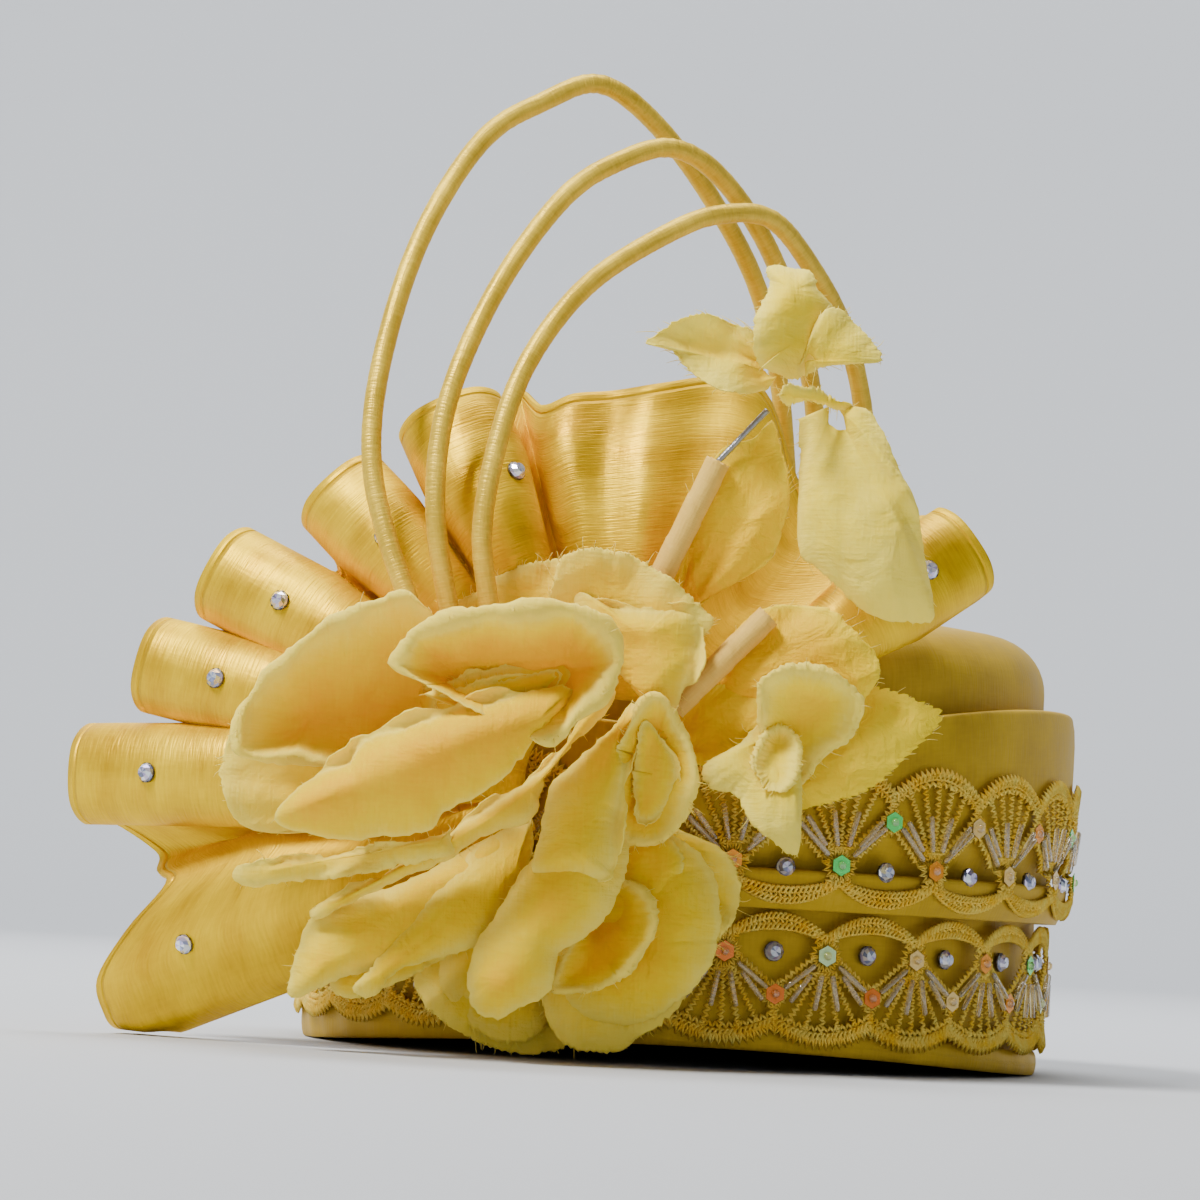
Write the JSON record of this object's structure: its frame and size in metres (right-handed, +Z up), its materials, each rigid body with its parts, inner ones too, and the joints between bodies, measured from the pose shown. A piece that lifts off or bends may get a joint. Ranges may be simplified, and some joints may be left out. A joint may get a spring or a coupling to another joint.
{
  "type": "cloche hat",
  "caption": "Golden satin occasion hat: deep oval crown, turned-up brim with beaded lace, and a silk flower, fluted ruffle and wire loops at the front left.",
  "frame": {"origin": "under the middle of the whole hat's box, on the plane that the rim rests on", "axes": "+X to the hat's right as seen from the front, +Y towards the back, +Z up; the ornament faces -Y"},
  "size_m": [0.2518, 0.2702, 0.2405],
  "materials": {
    "satin": "golden yellow satin",
    "satin_deep": "deeper golden satin on wire and stiffener",
    "organza": "yellow silk petals and leaves",
    "organza_pale": "pale greenish yellow silk",
    "lace": "gold thread lace",
    "stem_tan": "tan paper-wrapped stem",
    "wire": "thin grey wire",
    "crystal": "cut glass stone"
  },
  "bodies": {
    "root": {"brim": "satin", "bud_cup": "organza_pale", "bud_flap": "organza_pale", "bud_leaf": "organza_pale", "bud_long": "organza_pale", "bud_low_cup": "organza_pale", "bud_low_lip": "organza_pale", "bud_strip": "organza_pale", "crown": "satin", "hem": "satin", "lace_lower": "lace", "lace_upper": "lace", "leaf_inner": "organza", "leaf_lower": "organza", "leaf_serrated": "organza", "leaf_upper": "organza", "loop_middle": "satin_deep", "loop_short": "satin_deep", "loop_tall": "satin_deep", "petal_bottom": "organza", "petal_bottom_right": "organza", "petal_centre_long": "organza", "petal_centre_short": "organza", "petal_heart_back": "organza", "petal_heart_fold": "organza", "petal_left_cup": "organza", "petal_left_low": "organza", "petal_left_strip": "organza", "petal_lip": "organza", "petal_low_left_long": "organza", "petal_low_left_short": "organza", "petal_right_curl": "organza", "petal_right_inner": "organza", "petal_right_outer": "organza", "petal_right_round": "organza", "petal_sweep": "organza", "petal_top": "organza", "petal_top_left": "organza", "petal_top_right": "organza", "pleat": "satin", "ruffle": "satin_deep", "stem_lower": "stem_tan", "stem_upper": "stem_tan", "stone_flute_1": "crystal", "stone_flute_2": "crystal", "stone_flute_3": "crystal", "stone_flute_4": "crystal", "stone_flute_5": "crystal", "stone_lobe": "crystal", "stone_lower_1": "crystal", "stone_lower_2": "crystal", "stone_lower_3": "crystal", "stone_lower_4": "crystal", "stone_right_flute": "crystal", "stone_upper_1": "crystal", "stone_upper_2": "crystal", "stone_upper_3": "crystal", "stone_upper_4": "crystal", "stone_wide_fold": "crystal", "wire": "wire"}
  },
  "joints": []
}
